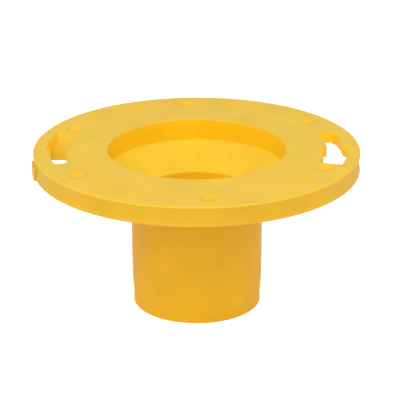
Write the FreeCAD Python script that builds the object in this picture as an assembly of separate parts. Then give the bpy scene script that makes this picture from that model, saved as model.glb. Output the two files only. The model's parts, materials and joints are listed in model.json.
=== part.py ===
import FreeCAD, Part
import os
from math import cos, hypot, pi, radians, sin

# Toilet (closet) flange with an internal reducer and a push-in pipe spigot.
# Millimetres. The origin is the centre of the throat on the sealing face, and +Z is up.
# The flange is one plastic moulding. It is built as the members it consists of,
# which meet face to face.

# Flange
FLANGE_R = 90.0
RIM_H = 11.2
DECK_T = 6.0
SKIRT_T = 3.5
EDGE_R = 1.0
WAIST_DEPTH = 0.6

# Throat, reducing cone and spigot
THROAT_R = 49.0
THROAT_DEPTH = 12.3
THROAT_WALL = 4.0
CONE_WALL = 4.0
CONE_FOOT_DEPTH = 26.4
SPIGOT_BORE_R = 32.6
SPIGOT_R = 36.4
SPIGOT_TAPER_START = 62.0
LEAD_IN_START = 76.0
LEAD_IN_START_R = 36.15
LEAD_IN_END = 83.0
LEAD_IN_END_R = 35.55
TOTAL_H = 90.0
SPIGOT_EDGE = 0.4

# Bolt circle: six countersunk floor screws and two keyhole slots for the closet bolts
BOLT_CIRCLE_R = 76.2
SCREW_COUNT = 6
FIRST_SCREW_DEG = 30.0
SCREW_HOLE_R = 2.5
COUNTERSINK_R = 5.0
COUNTERSINK_DEPTH = 2.5
BOSS_R = 6.0

SLOT_COUNT = 2
MOUTH_START_DEG = -24.4
CHANNEL_START_DEG = -3.9
CHANNEL_END_DEG = 13.6
MOUTH_INNER_R = 69.9
MOUTH_OUTER_R = 82.5
CHANNEL_INNER_R = 71.9
CHANNEL_OUTER_R = 80.7
CHANNEL_CORNER_R = 2.0

# Ramp that leads a bolt head from the mouth of each slot down under the deck
RAMP_FOOT_DEG = -13.6
RAMP_FOOT_DEPTH = 11.0
RAMP_T = 2.4

# Stiffening under the deck
RING_RIB_INNER_R = 64.5
RING_RIB_T = 2.0
RIB_T = 2.5
INNER_RIB_DEGS = [30.0 * step for step in range(12)]
OUTER_RIB_DEGS = [side + step for side in (90.0, 270.0) for step in (-45.0, -30.0, -15.0, 15.0, 30.0, 45.0)]

# Trimmed gate on the side of the rim
GATE_START_DEG = 180.8
GATE_END_DEG = 189.5
GATE_TOP_DEPTH = 4.0
GATE_PROUD = 0.8

# Extra reach of cutting tools past the faces that they cut
OVERCUT = 1.0

COLLAR_OUTER_R = THROAT_R + THROAT_WALL
SKIRT_INNER_R = FLANGE_R - SKIRT_T
RING_RIB_OUTER_R = RING_RIB_INNER_R + RING_RIB_T

CENTRE = FreeCAD.Vector(0, 0, 0)
UP = FreeCAD.Vector(0, 0, 1)


def at(radius, z):
    """Point in the half-plane of a turned profile."""
    return FreeCAD.Vector(radius, 0, z)


def turned(profile, degrees=360.0):
    """Solid of revolution about +Z from a closed list of (radius, z) corners."""
    corners = [at(radius, z) for radius, z in profile]
    face = Part.Face(Part.makePolygon(corners + corners[:1]))
    return face.revolve(CENTRE, UP, degrees)


def ring(inner_r, outer_r, top, bottom):
    """Plain ring between two radii and two heights."""
    return turned([(inner_r, top), (outer_r, top), (outer_r, bottom), (inner_r, bottom)])


def sector(inner_r, outer_r, start_deg, end_deg, top, bottom):
    """Part of a ring between two angles."""
    profile = [(inner_r, top), (outer_r, top), (outer_r, bottom), (inner_r, bottom)]
    return spun(turned(profile, end_deg - start_deg), start_deg)


def spun(shape, degrees):
    """Copy of a shape turned about the flange's axis."""
    return shape.rotated(CENTRE, UP, degrees)


def screw_degs():
    """Angles of the floor screws."""
    return [FIRST_SCREW_DEG + 360.0 / SCREW_COUNT * index for index in range(SCREW_COUNT)]


def screw_centre(degrees, z):
    """Point on the axis of the floor screw at one angle."""
    angle = radians(degrees)
    return FreeCAD.Vector(BOLT_CIRCLE_R * cos(angle), BOLT_CIRCLE_R * sin(angle), z)


def flange_envelope():
    """Disc with the flange's outer side: rounded edges and a shallow waist between them."""
    corner = EDGE_R * (1.0 - cos(pi / 4.0))
    top_edge = Part.Arc(at(FLANGE_R - EDGE_R, 0), at(FLANGE_R - corner, -corner), at(FLANGE_R, -EDGE_R))
    waist = Part.Arc(
        at(FLANGE_R, -EDGE_R),
        at(FLANGE_R - WAIST_DEPTH, -RIM_H / 2.0),
        at(FLANGE_R, EDGE_R - RIM_H),
    )
    bottom_edge = Part.Arc(
        at(FLANGE_R, EDGE_R - RIM_H),
        at(FLANGE_R - corner, corner - RIM_H),
        at(FLANGE_R - EDGE_R, -RIM_H),
    )
    outline = Part.Wire([
        Part.makeLine(at(0, 0), at(FLANGE_R - EDGE_R, 0)),
        top_edge.toShape(),
        waist.toShape(),
        bottom_edge.toShape(),
        Part.makeLine(at(FLANGE_R - EDGE_R, -RIM_H), at(0, -RIM_H)),
        Part.makeLine(at(0, -RIM_H), at(0, 0)),
    ])
    return Part.Face(outline).revolve(CENTRE, UP, 360.0)


def slot_cutter():
    """Keyhole slot: a wide mouth that steps down to a narrow channel."""
    mouth = sector(MOUTH_INNER_R, MOUTH_OUTER_R, MOUTH_START_DEG, CHANNEL_START_DEG, OVERCUT, -RIM_H)
    channel = sector(CHANNEL_INNER_R, CHANNEL_OUTER_R, MOUTH_START_DEG, CHANNEL_END_DEG, OVERCUT, -RIM_H)
    end = radians(CHANNEL_END_DEG)
    along_end = FreeCAD.Vector(cos(end), sin(end), 0)
    end_corners = [
        edge
        for edge in channel.Edges
        if abs(edge.tangentAt(edge.FirstParameter).z) > 0.99
        and edge.CenterOfMass.cross(along_end).z < 0.01
        and abs(edge.CenterOfMass.cross(along_end).z) < 0.01
    ]
    return mouth.fuse(channel.makeFillet(CHANNEL_CORNER_R, end_corners)).removeSplitter()


def screw_cutter(degrees):
    """Countersunk clearance hole for one floor screw."""
    hole = Part.makeCylinder(SCREW_HOLE_R, RIM_H + OVERCUT, screw_centre(degrees, -RIM_H - OVERCUT))
    head = Part.makeCone(
        SCREW_HOLE_R, COUNTERSINK_R, COUNTERSINK_DEPTH, screw_centre(degrees, -COUNTERSINK_DEPTH)
    )
    return hole.fuse([head, Part.makeCylinder(COUNTERSINK_R, OVERCUT, screw_centre(degrees, 0))])


def flange_deck():
    """Top plate with the throat opening, the slots and the screw holes."""
    plate = flange_envelope().common(ring(THROAT_R, FLANGE_R + OVERCUT, OVERCUT, -DECK_T))
    slots = [spun(slot_cutter(), 360.0 / SLOT_COUNT * index) for index in range(SLOT_COUNT)]
    return plate.cut(slots + [screw_cutter(degrees) for degrees in screw_degs()])


def rim_skirt():
    """Outer wall that carries the deck's edge down to the floor."""
    return flange_envelope().common(ring(SKIRT_INNER_R, FLANGE_R + OVERCUT, -DECK_T, -RIM_H - OVERCUT))


def throat_collar():
    """Straight wall of the throat below the deck."""
    return ring(THROAT_R, COLLAR_OUTER_R, -DECK_T, -THROAT_DEPTH)


def cone_outside_z(radius):
    """Height of the reducing cone's outer face at one radius."""
    run = THROAT_R - SPIGOT_BORE_R
    drop = CONE_FOOT_DEPTH - THROAT_DEPTH
    return -THROAT_DEPTH - (THROAT_R - radius) * drop / run - CONE_WALL * hypot(run, drop) / run


def reducer_cone():
    """Cone from the throat down to the spigot, of even wall."""
    return turned([
        (THROAT_R, -THROAT_DEPTH),
        (COLLAR_OUTER_R, -THROAT_DEPTH),
        (COLLAR_OUTER_R, cone_outside_z(COLLAR_OUTER_R)),
        (SPIGOT_R, cone_outside_z(SPIGOT_R)),
        (SPIGOT_BORE_R, cone_outside_z(SPIGOT_R)),
        (SPIGOT_BORE_R, -CONE_FOOT_DEPTH),
    ])


def spigot_tube():
    """Upper length of the spigot: straight, then with a slight draft."""
    top = cone_outside_z(SPIGOT_R)
    return turned([
        (SPIGOT_BORE_R, top),
        (SPIGOT_R, top),
        (SPIGOT_R, -SPIGOT_TAPER_START),
        (LEAD_IN_START_R, -LEAD_IN_START),
        (SPIGOT_BORE_R, -LEAD_IN_START),
    ])


def spigot_lead_in():
    """Narrowed end of the spigot that enters the drain pipe first."""
    return turned([
        (SPIGOT_BORE_R, -LEAD_IN_START),
        (LEAD_IN_START_R, -LEAD_IN_START),
        (LEAD_IN_END_R, -LEAD_IN_END),
        (LEAD_IN_END_R, SPIGOT_EDGE - TOTAL_H),
        (LEAD_IN_END_R - SPIGOT_EDGE, -TOTAL_H),
        (SPIGOT_BORE_R + SPIGOT_EDGE, -TOTAL_H),
        (SPIGOT_BORE_R, SPIGOT_EDGE - TOTAL_H),
    ])


def bolt_ramp():
    """Sloped plate of one slot's mouth, with a cheek wall on each side of it."""
    middle_deg = (MOUTH_START_DEG + RAMP_FOOT_DEG) / 2.0
    middle_r = (MOUTH_INNER_R + MOUTH_OUTER_R) / 2.0
    half = middle_r * sin(radians(RAMP_FOOT_DEG - MOUTH_START_DEG) / 2.0)
    slope = RAMP_FOOT_DEPTH / (2.0 * half)
    drop = RAMP_T * hypot(1.0, slope)
    reach = half + OVERCUT
    corners = [
        FreeCAD.Vector(MOUTH_INNER_R - OVERCUT, along, z)
        for along, z in (
            (-reach, slope * OVERCUT),
            (reach, -RAMP_FOOT_DEPTH - slope * OVERCUT),
            (reach, -RAMP_FOOT_DEPTH - slope * OVERCUT - drop),
            (-reach, slope * OVERCUT - drop),
        )
    ]
    face = Part.Face(Part.makePolygon(corners + corners[:1]))
    plate = face.extrude(FreeCAD.Vector(MOUTH_OUTER_R - MOUTH_INNER_R + 3.0 * OVERCUT, 0, 0))
    span = (MOUTH_START_DEG, RAMP_FOOT_DEG)
    plate = spun(plate, middle_deg).common(sector(MOUTH_INNER_R, MOUTH_OUTER_R, *span, 0, -RIM_H))
    inner_cheek = sector(RING_RIB_OUTER_R, MOUTH_INNER_R, *span, -DECK_T, -RIM_H)
    outer_cheek = sector(MOUTH_OUTER_R, SKIRT_INNER_R, *span, -DECK_T, -RIM_H)
    return plate.fuse([inner_cheek, outer_cheek]).removeSplitter()


def ring_rib():
    """Circular rib between the throat and the bolt slots."""
    return ring(RING_RIB_INNER_R, RING_RIB_OUTER_R, -DECK_T, -RIM_H)


def radial_ribs(degrees_list, inner_r, outer_r):
    """Straight ribs that run outwards between two round walls."""
    between = ring(inner_r, outer_r, -DECK_T, -RIM_H)
    blank = Part.makeBox(
        outer_r - inner_r + 2.0 * OVERCUT, RIB_T, RIM_H, FreeCAD.Vector(inner_r - OVERCUT, -RIB_T / 2.0, -RIM_H)
    )
    return Part.makeCompound([spun(blank, degrees).common(between).Solids[0] for degrees in degrees_list])


def screw_bosses():
    """Pads under the deck that stand the screw holes off the floor."""
    bosses = []
    for degrees in screw_degs():
        boss = Part.makeCylinder(BOSS_R, RIM_H - DECK_T, screw_centre(degrees, -RIM_H))
        bosses.append(boss.cut(screw_cutter(degrees)).Solids[0])
    return Part.makeCompound(bosses)


def gate_tab():
    """Low pad left on the rim's side where the plastic entered the mould."""
    proud = FLANGE_R + GATE_PROUD
    pad = sector(SKIRT_INNER_R, proud, GATE_START_DEG, GATE_END_DEG, -GATE_TOP_DEPTH, -RIM_H)
    return pad.cut(flange_envelope()).Solids[0]


def build():
    """All members of the flange, by name."""
    members = {
        "flange_deck": flange_deck(),
        "rim_skirt": rim_skirt(),
        "throat_collar": throat_collar(),
        "reducer_cone": reducer_cone(),
        "spigot_tube": spigot_tube(),
        "spigot_lead_in": spigot_lead_in(),
        "ring_rib": ring_rib(),
        "inner_ribs": radial_ribs(INNER_RIB_DEGS, COLLAR_OUTER_R, RING_RIB_INNER_R),
        "outer_ribs": radial_ribs(OUTER_RIB_DEGS, RING_RIB_OUTER_R, SKIRT_INNER_R),
        "screw_bosses": screw_bosses(),
        "gate_tab": gate_tab(),
    }
    for index, side in enumerate(("right", "left")):
        members["bolt_ramp_" + side] = spun(bolt_ramp(), 360.0 / SLOT_COUNT * index)
    return members


def export(members):
    """Write one STEP file per member and print its size."""
    os.makedirs("parts", exist_ok=True)
    for name, shape in members.items():
        shape.exportStep(os.path.join("parts", name + ".step"))
        box = shape.BoundBox
        print(
            f"{name}: {len(shape.Solids)} solid(s), valid {shape.isValid()}, {shape.Volume:.0f} mm3, "
            f"z {box.ZMin:.1f} to {box.ZMax:.1f}"
        )


export(build())
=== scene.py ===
"""Yellow plastic toilet flange: the looks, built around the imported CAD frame.

Each member of the moulding is a class that builds one piece and dresses it. Lengths inside the classes are
millimetres, and meshes are written in metres. The frame's origin is the centre of the throat on the sealing
face, and +Z is up.
"""

import json
import logging
from collections.abc import Callable, Iterable, Sequence
from dataclasses import dataclass
from enum import Enum
from math import cos, degrees, hypot, pi, radians, sin, tan, tau

import bmesh
import bpy
from mathutils import Matrix, Quaternion, Vector
from mathutils.geometry import delaunay_2d_cdt

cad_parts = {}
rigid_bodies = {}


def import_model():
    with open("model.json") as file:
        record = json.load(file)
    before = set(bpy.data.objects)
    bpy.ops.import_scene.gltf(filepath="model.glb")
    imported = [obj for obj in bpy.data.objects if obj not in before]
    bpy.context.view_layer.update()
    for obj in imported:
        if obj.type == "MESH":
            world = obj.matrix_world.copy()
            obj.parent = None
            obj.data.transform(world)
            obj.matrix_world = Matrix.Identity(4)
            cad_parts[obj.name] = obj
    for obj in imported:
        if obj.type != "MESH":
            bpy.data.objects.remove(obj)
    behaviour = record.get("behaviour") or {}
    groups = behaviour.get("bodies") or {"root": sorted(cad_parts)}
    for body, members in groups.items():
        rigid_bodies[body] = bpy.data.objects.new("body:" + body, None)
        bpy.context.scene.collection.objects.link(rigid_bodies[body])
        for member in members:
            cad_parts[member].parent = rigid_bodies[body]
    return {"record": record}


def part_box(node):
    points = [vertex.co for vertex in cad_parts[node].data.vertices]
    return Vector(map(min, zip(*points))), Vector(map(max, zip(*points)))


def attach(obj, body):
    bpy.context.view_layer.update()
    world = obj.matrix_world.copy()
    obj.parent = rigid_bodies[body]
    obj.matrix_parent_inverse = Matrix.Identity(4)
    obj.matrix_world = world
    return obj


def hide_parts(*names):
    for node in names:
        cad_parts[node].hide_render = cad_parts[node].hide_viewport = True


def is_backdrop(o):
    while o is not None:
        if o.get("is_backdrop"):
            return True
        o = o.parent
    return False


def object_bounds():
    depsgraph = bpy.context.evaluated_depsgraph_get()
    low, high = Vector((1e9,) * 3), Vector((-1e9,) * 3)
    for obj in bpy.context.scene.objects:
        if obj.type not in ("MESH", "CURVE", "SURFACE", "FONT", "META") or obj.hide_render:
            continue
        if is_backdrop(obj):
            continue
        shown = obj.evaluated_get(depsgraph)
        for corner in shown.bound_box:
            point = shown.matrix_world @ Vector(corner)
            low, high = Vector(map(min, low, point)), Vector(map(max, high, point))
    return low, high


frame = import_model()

logging.basicConfig(level=logging.INFO, format="%(name)s: %(message)s")
log = logging.getLogger("toilet_flange")

MM = 0.001
BODY = "root"
# Point attribute that carries the painted highlight along rounded edges.
HIGHLIGHT_LAYER = "edge_wear"
SMOOTH_BELOW = radians(30.0)
BEVEL_ABOVE = radians(40.0)
ROUND_STEPS = 6
CORNER_STEPS = 5
WHITE = (1.0, 1.0, 1.0, 1.0)

Point2 = tuple[float, float]
Colour = tuple[float, float, float]
HeightAt = Callable[[float, float], float]

# How strong the painted highlight is at the middle of each rounded edge, from 0 to 1.
RIM_HIGHLIGHT = 0.8
END_HIGHLIGHT = 0.7
THROAT_HIGHLIGHT = 0.6
HOLE_HIGHLIGHT = 0.5


# ---------------------------------------------------------------------------------------------- sizes


@dataclass(frozen=True)
class FlangeSizes:
    """Main sizes in millimetres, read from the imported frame. Depths count down from the sealing face."""

    rim_r: float
    rim_depth: float
    deck_depth: float
    throat_r: float
    collar_r: float
    throat_depth: float
    cone_depth: float
    cone_foot_depth: float
    spigot_r: float
    bore_r: float
    lead_in_depth: float
    lead_in_r: float
    total_depth: float
    ring_rib_r: float
    bolt_circle_r: float
    screw_count: int
    screw_hole_r: float
    boss_r: float
    end_edge: float = 0.4
    skirt_thickness: float = 3.5
    rib_wall: float = 2.0

    @classmethod
    def from_frame(cls) -> "FlangeSizes":
        """Read the sizes from the nodes' boxes and the record's mounts.

        Returns:
            The sizes.
        """
        mounts = {mount["name"]: mount["dims"] for mount in frame["record"]["mounts"]}
        bore, screws = mounts["drain_bore"], mounts["floor_screws"]
        bolt_circle_r = screws["pcd_mm"] / 2.0
        total_depth = cls.depth("spigot_lead_in")
        return cls(
            rim_r=cls.reach("flange_deck"),
            rim_depth=cls.depth("rim_skirt"),
            deck_depth=cls.depth("flange_deck"),
            throat_r=mounts["throat_bore"]["r_mm"],
            collar_r=cls.reach("throat_collar"),
            throat_depth=cls.depth("throat_collar"),
            cone_depth=cls.depth("reducer_cone"),
            cone_foot_depth=total_depth - cls.end_edge - bore["length_mm"],
            spigot_r=cls.reach("spigot_tube"),
            bore_r=bore["r_mm"],
            lead_in_depth=cls.depth("spigot_tube"),
            lead_in_r=cls.reach("spigot_lead_in"),
            total_depth=total_depth,
            ring_rib_r=cls.reach("ring_rib"),
            bolt_circle_r=bolt_circle_r,
            screw_count=screws["count"],
            screw_hole_r=screws["hole_r_mm"],
            boss_r=cls.reach("screw_bosses") - bolt_circle_r,
        )

    @staticmethod
    def reach(node: str) -> float:
        """Furthest reach of a node along +Y, in millimetres."""
        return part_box(node)[1].y / MM

    @staticmethod
    def depth(node: str) -> float:
        """Depth of a node's lowest point below the sealing face, in millimetres."""
        return -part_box(node)[0].z / MM

    @property
    def skirt_inner_r(self) -> float:
        """Inner radius of the rim's skirt."""
        return self.rim_r - self.skirt_thickness


# ------------------------------------------------------------------------------------------- finishes


class FlowLines(Enum):
    """Which way the faint flow lines of the moulded plastic run."""

    NONE = "none"
    RADIAL = "radial"
    RINGS = "rings"


class NodeWriter:
    """Short way to add and link the nodes of a tree."""

    tree: bpy.types.NodeTree

    def node(self, kind: str, inputs: dict | None = None, **settings: object) -> bpy.types.Node:
        """Add a node.

        Args:
            kind: the node's type name.
            inputs: socket name or index to a value, or to another node's output socket.
            settings: attributes of the node itself.

        Returns:
            The new node.
        """
        made = self.tree.nodes.new(kind)
        for name, value in settings.items():
            setattr(made, name, value)
        for key, value in (inputs or {}).items():
            if isinstance(value, bpy.types.NodeSocket):
                self.tree.links.new(value, made.inputs[key])
            else:
                made.inputs[key].default_value = value
        return made

    def math(
        self, operation: str, first: bpy.types.NodeSocket | float, second: bpy.types.NodeSocket | float = 0.0
    ) -> bpy.types.NodeSocket:
        """Result of a math node on two values or sockets."""
        return self.node("ShaderNodeMath", {0: first, 1: second}, operation=operation).outputs["Value"]


class ShaderGraph(NodeWriter):
    """Nodes of one material or of the world."""

    noise_roughness = 0.55

    def __init__(self, owner: bpy.types.Material | bpy.types.World) -> None:
        """Empty the owner's node tree.

        Args:
            owner: the material or world.
        """
        owner.use_nodes = True
        self.tree = owner.node_tree
        self.tree.nodes.clear()

    def noise(self, place: bpy.types.NodeSocket, scale: float, detail: float = 3.0) -> bpy.types.NodeSocket:
        """Noise value around 0.5, at a scale in features per metre."""
        inputs = {"Vector": place, "Scale": scale, "Detail": detail, "Roughness": self.noise_roughness}
        return self.node("ShaderNodeTexNoise", inputs).outputs["Fac"]

    def spread(
        self, value: bpy.types.NodeSocket, span: Point2, out: Point2 = (0.0, 1.0)
    ) -> bpy.types.NodeSocket:
        """Map a value from one range onto another, held at both ends.

        Args:
            value: the value's socket.
            span: lowest and highest value that are told apart.
            out: what they become.

        Returns:
            The new value's socket.
        """
        inputs = {"Value": value, "From Min": span[0], "From Max": span[1]}
        inputs |= {"To Min": out[0], "To Max": out[1]}
        return self.node("ShaderNodeMapRange", inputs, clamp=True).outputs["Result"]

    def mix(
        self, factor: bpy.types.NodeSocket, first: bpy.types.NodeSocket | Colour, second: Colour
    ) -> bpy.types.NodeSocket:
        """Mix two colours.

        Args:
            factor: share of the second colour.
            first: a colour or a socket.
            second: a colour.

        Returns:
            The mixed colour's socket.
        """
        made = self.node("ShaderNodeMix", {"Factor": factor}, data_type="RGBA")
        colour_a, colour_b = made.inputs[6], made.inputs[7]
        if isinstance(first, bpy.types.NodeSocket):
            self.tree.links.new(first, colour_a)
        else:
            colour_a.default_value = (*first, 1.0)
        colour_b.default_value = (*second, 1.0)
        return made.outputs[2]


@dataclass(frozen=True)
class MouldedPlastic:
    """Satin yellow plastic as it comes out of the mould.

    Colours are linear. One is the tone of upright faces, and one that of faces that look up: painted light
    and shade for how light falls on each facing.
    """

    name: str
    # The side and up tones are painted light and shade, set by which way a face looks.
    side: Colour
    up: Colour
    # Tone of the painted highlight along the rounded edges.
    worn: Colour = (0.80, 0.50, 0.03)
    mottle: float = 0.05
    mottle_scale: float = 38.0
    patch_scale: float = 152.0
    noise_span: Point2 = (0.3, 0.7)
    upward_span: Point2 = (0.15, 0.75)
    # Noise that breaks up the painted edge highlight.
    wear_scale: float = 342.0
    wear_span: Point2 = (0.25, 0.75)
    wear_left: Point2 = (0.45, 1.0)
    roughness: Point2 = (0.42, 0.54)
    specular: float = 0.25
    grain_scale: float = 2600.0
    grain_depth: float = 0.012
    grain_strength: float = 0.35
    flow: FlowLines = FlowLines.NONE
    flow_depth: float = 0.03
    flow_strength: float = 0.5
    flow_tone: float = 0.0
    ring_scale: float = 900.0
    radial_scale: float = 14.0

    def material(self) -> bpy.types.Material:
        """Build the finish once, and give the same material to every later caller.

        Returns:
            The material.
        """
        known = bpy.data.materials.get(self.name)
        if known is not None:
            return known
        made = bpy.data.materials.new(self.name)
        graph = ShaderGraph(made)
        place = graph.node("ShaderNodeTexCoord").outputs["Object"]
        patches = graph.noise(place, self.patch_scale)
        lines = self.flow_pattern(graph, place)
        shader = graph.node(
            "ShaderNodeBsdfPrincipled",
            {
                "Base Color": self.coloured(graph, place, lines),
                "Roughness": graph.spread(patches, self.noise_span, self.roughness),
                "Normal": self.textured(graph, place, lines),
                "Specular IOR Level": self.specular,
            },
        )
        graph.node("ShaderNodeOutputMaterial", {"Surface": shader.outputs["BSDF"]})
        return made

    def coloured(
        self, graph: ShaderGraph, place: bpy.types.NodeSocket, lines: bpy.types.NodeSocket | None
    ) -> bpy.types.NodeSocket:
        """Tone of the plastic: painted light and shade by the way a face looks, with a slow mottle, flow
        lines and a painted highlight on the rounded edges.

        Args:
            graph: the material's graph.
            place: object coordinates.
            lines: the flow pattern, where the finish has one.

        Returns:
            The colour's socket.
        """
        facing = graph.node("ShaderNodeTexCoord").outputs["Normal"]
        upward = graph.node("ShaderNodeSeparateXYZ", {"Vector": facing}).outputs["Z"]
        # Painted light and shade: the tone goes from the side tone to the up tone as the face turns up.
        tone = graph.mix(graph.spread(upward, self.upward_span), self.side, self.up)
        slow = graph.noise(place, self.mottle_scale, 4.0)
        level = graph.math("ADD", graph.spread(slow, self.noise_span, (-self.mottle, self.mottle)), 1.0)
        if lines is not None:
            streaks = graph.spread(lines, self.noise_span, (-self.flow_tone, self.flow_tone))
            level = graph.math("ADD", level, streaks)
        shaded = graph.node("ShaderNodeVectorMath", {0: tone, "Scale": level}, operation="SCALE").outputs[0]
        # Painted highlight: the edge attribute, broken up by noise, mixes in the highlight tone.
        wear = graph.node("ShaderNodeAttribute", attribute_name=HIGHLIGHT_LAYER).outputs["Fac"]
        broken = graph.spread(graph.noise(place, self.wear_scale), self.wear_span, self.wear_left)
        return graph.mix(graph.math("MULTIPLY", wear, broken), shaded, self.worn)

    def textured(
        self, graph: ShaderGraph, place: bpy.types.NodeSocket, lines: bpy.types.NodeSocket | None
    ) -> bpy.types.NodeSocket:
        """Fine grain of the mould, with flow lines over it where the finish has them.

        Args:
            graph: the material's graph.
            place: object coordinates.
            lines: the flow pattern, where the finish has one.

        Returns:
            The normal's socket.
        """
        grain = graph.noise(place, self.grain_scale, 2.0)
        inputs = {"Height": grain, "Strength": self.grain_strength, "Distance": self.grain_depth * MM}
        normal = graph.node("ShaderNodeBump", inputs).outputs["Normal"]
        if lines is None:
            return normal
        inputs = {"Height": lines, "Strength": self.flow_strength, "Distance": self.flow_depth * MM}
        return graph.node("ShaderNodeBump", {**inputs, "Normal": normal}).outputs["Normal"]

    def flow_pattern(self, graph: ShaderGraph, place: bpy.types.NodeSocket) -> bpy.types.NodeSocket | None:
        """Faint streaks: along the radius, or round the axis.

        Args:
            graph: the material's graph.
            place: object coordinates.

        Returns:
            The pattern's socket, or None where the finish has no streaks.
        """
        if self.flow is FlowLines.NONE:
            return None
        split = graph.node("ShaderNodeSeparateXYZ", {"Vector": place})
        x, y, z = (split.outputs[axis] for axis in "XYZ")
        if self.flow is FlowLines.RINGS:
            stretched = graph.node("ShaderNodeCombineXYZ", {"Z": z})
            return graph.noise(stretched.outputs["Vector"], self.ring_scale)
        angle = graph.math("ARCTAN2", y, x)
        around = {"X": graph.math("COSINE", angle), "Y": graph.math("SINE", angle)}
        return graph.noise(graph.node("ShaderNodeCombineXYZ", around).outputs["Vector"], self.radial_scale)


# The four finishes are lit and shaded copies of one plastic: the bright upright tone of the deck and throat,
# and the throat's brighter up tone, are painted light bounced inside the throat; the darker rim side and
# spigot tones are painted shade.
DECK_LIT_PLASTIC = MouldedPlastic(name="deck_plastic", side=(0.93, 0.56, 0.006), up=(0.775, 0.490, 0.030))
RIM_SHADED_PLASTIC = MouldedPlastic(name="rim_plastic", side=(0.675, 0.378, 0.010), up=(0.775, 0.490, 0.030))
THROAT_LIT_PLASTIC = MouldedPlastic(
    name="throat_plastic",
    side=(0.93, 0.56, 0.006),
    up=(0.84, 0.56, 0.022),
    flow=FlowLines.RADIAL,
    flow_tone=0.02,
)
SPIGOT_SHADED_PLASTIC = MouldedPlastic(
    name="spigot_plastic",
    side=(0.730, 0.390, 0.005),
    up=(0.730, 0.390, 0.005),
    flow=FlowLines.RINGS,
    flow_tone=0.015,
)


# ------------------------------------------------------------------------------------------ mesh tools


@dataclass(frozen=True)
class Station:
    """One point of a section: distance from the reference outline or axis, depth, and how strong its painted
    highlight is.
    """

    across: float
    depth: float
    wear: float = 0.0


def edge_round(
    across: float, depth: float, radius: float, start: float, end: float, wear: float
) -> list[Station]:
    """Stations along a quarter round, or part of one.

    Args:
        across: distance of the round's centre.
        depth: depth of the round's centre.
        radius: the round's radius.
        start: angle of the first station, from straight up and towards larger distances, in degrees.
        end: angle of the last station.
        highlight: strength of the painted highlight at the middle of the round, from 0 to 1.

    Returns:
        The stations in order.
    """
    stations = []
    for step in range(ROUND_STEPS + 1):
        share = step / ROUND_STEPS
        angle = radians(start + (end - start) * share)
        # Painted highlight, strongest at the middle of the round.
        highlight_share = wear * sin(pi * share)
        stations.append(Station(across + radius * sin(angle), depth - radius * cos(angle), highlight_share))
    return stations


def rounded_outline(corners: Sequence[tuple[float, float, float]], spacing: float) -> list[Point2]:
    """Closed outline with rounded corners and evenly divided sides.

    Args:
        corners: (x, y, corner radius) in order.
        spacing: about how long each short side is.

    Returns:
        Points of the outline.
    """
    outline: list[Vector] = []
    for index, (x, y, radius) in enumerate(corners):
        here = Vector((x, y))
        to_back = (Vector(corners[index - 1][:2]) - here).normalized()
        to_on = (Vector(corners[(index + 1) % len(corners)][:2]) - here).normalized()
        half = to_back.angle(to_on) / 2.0
        centre = here + (to_back + to_on).normalized() * radius / sin(half)
        start, end = ((here + way * radius / tan(half) - centre).normalized() for way in (to_back, to_on))
        turns = [start.slerp(end, step / CORNER_STEPS) for step in range(CORNER_STEPS + 1)]
        outline += [centre + turn * radius for turn in turns]
    dense: list[Point2] = []
    for first, second in zip(outline, outline[1:] + outline[:1]):
        parts = max(1, round((second - first).length / spacing))
        dense += [tuple(first.lerp(second, part / parts)) for part in range(parts)]
    return dense


def straight_wall(inner: float, outer: float, top: float, bottom: float) -> list[Station]:
    """Section of a round wall with straight sides and flat ends."""
    return [Station(inner, top), Station(outer, top), Station(outer, bottom), Station(inner, bottom)]


def circle(radius: float, steps: int, centre: Point2 = (0.0, 0.0)) -> list[Point2]:
    """Points round a circle, anticlockwise."""
    turns = [tau * step / steps for step in range(steps)]
    return [(centre[0] + radius * cos(turn), centre[1] + radius * sin(turn)) for turn in turns]


def outward_normals(outline: Sequence[Point2]) -> list[Vector]:
    """Directions that point out of a closed outline.

    Args:
        outline: points of the outline.

    Returns:
        A unit direction for each point.
    """
    area = sum(x0 * y1 - x1 * y0 for (x0, y0), (x1, y1) in zip(outline, [*outline[1:], outline[0]]))
    side = 1.0 if area > 0 else -1.0
    normals = []
    for index in range(len(outline)):
        here = Vector(outline[index])
        before, after = Vector(outline[index - 1]), Vector(outline[(index + 1) % len(outline)])
        along = ((here - before).normalized() + (after - here).normalized()).normalized()
        normals.append(Vector((along.y, -along.x)) * side)
    return normals


def finished_mesh(bm: bmesh.types.BMesh, name: str, scale: float = MM) -> bpy.types.Mesh:
    """Turn a bmesh into a shaded mesh, and free it.

    Args:
        bm: the bmesh.
        name: name of the mesh.
        scale: metres in one unit of the bmesh.

    Returns:
        The mesh, in metres.
    """
    bmesh.ops.scale(bm, vec=(scale, scale, scale), verts=bm.verts)
    mesh = bpy.data.meshes.new(name)
    bm.to_mesh(mesh)
    bm.free()
    shade(mesh)
    return mesh


def shade(mesh: bpy.types.Mesh) -> None:
    """Smooth shading, with an edge kept sharp where the surface turns by more than the set angle."""
    mesh.shade_smooth()
    mesh.set_sharp_from_angle(angle=SMOOTH_BELOW)


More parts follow.
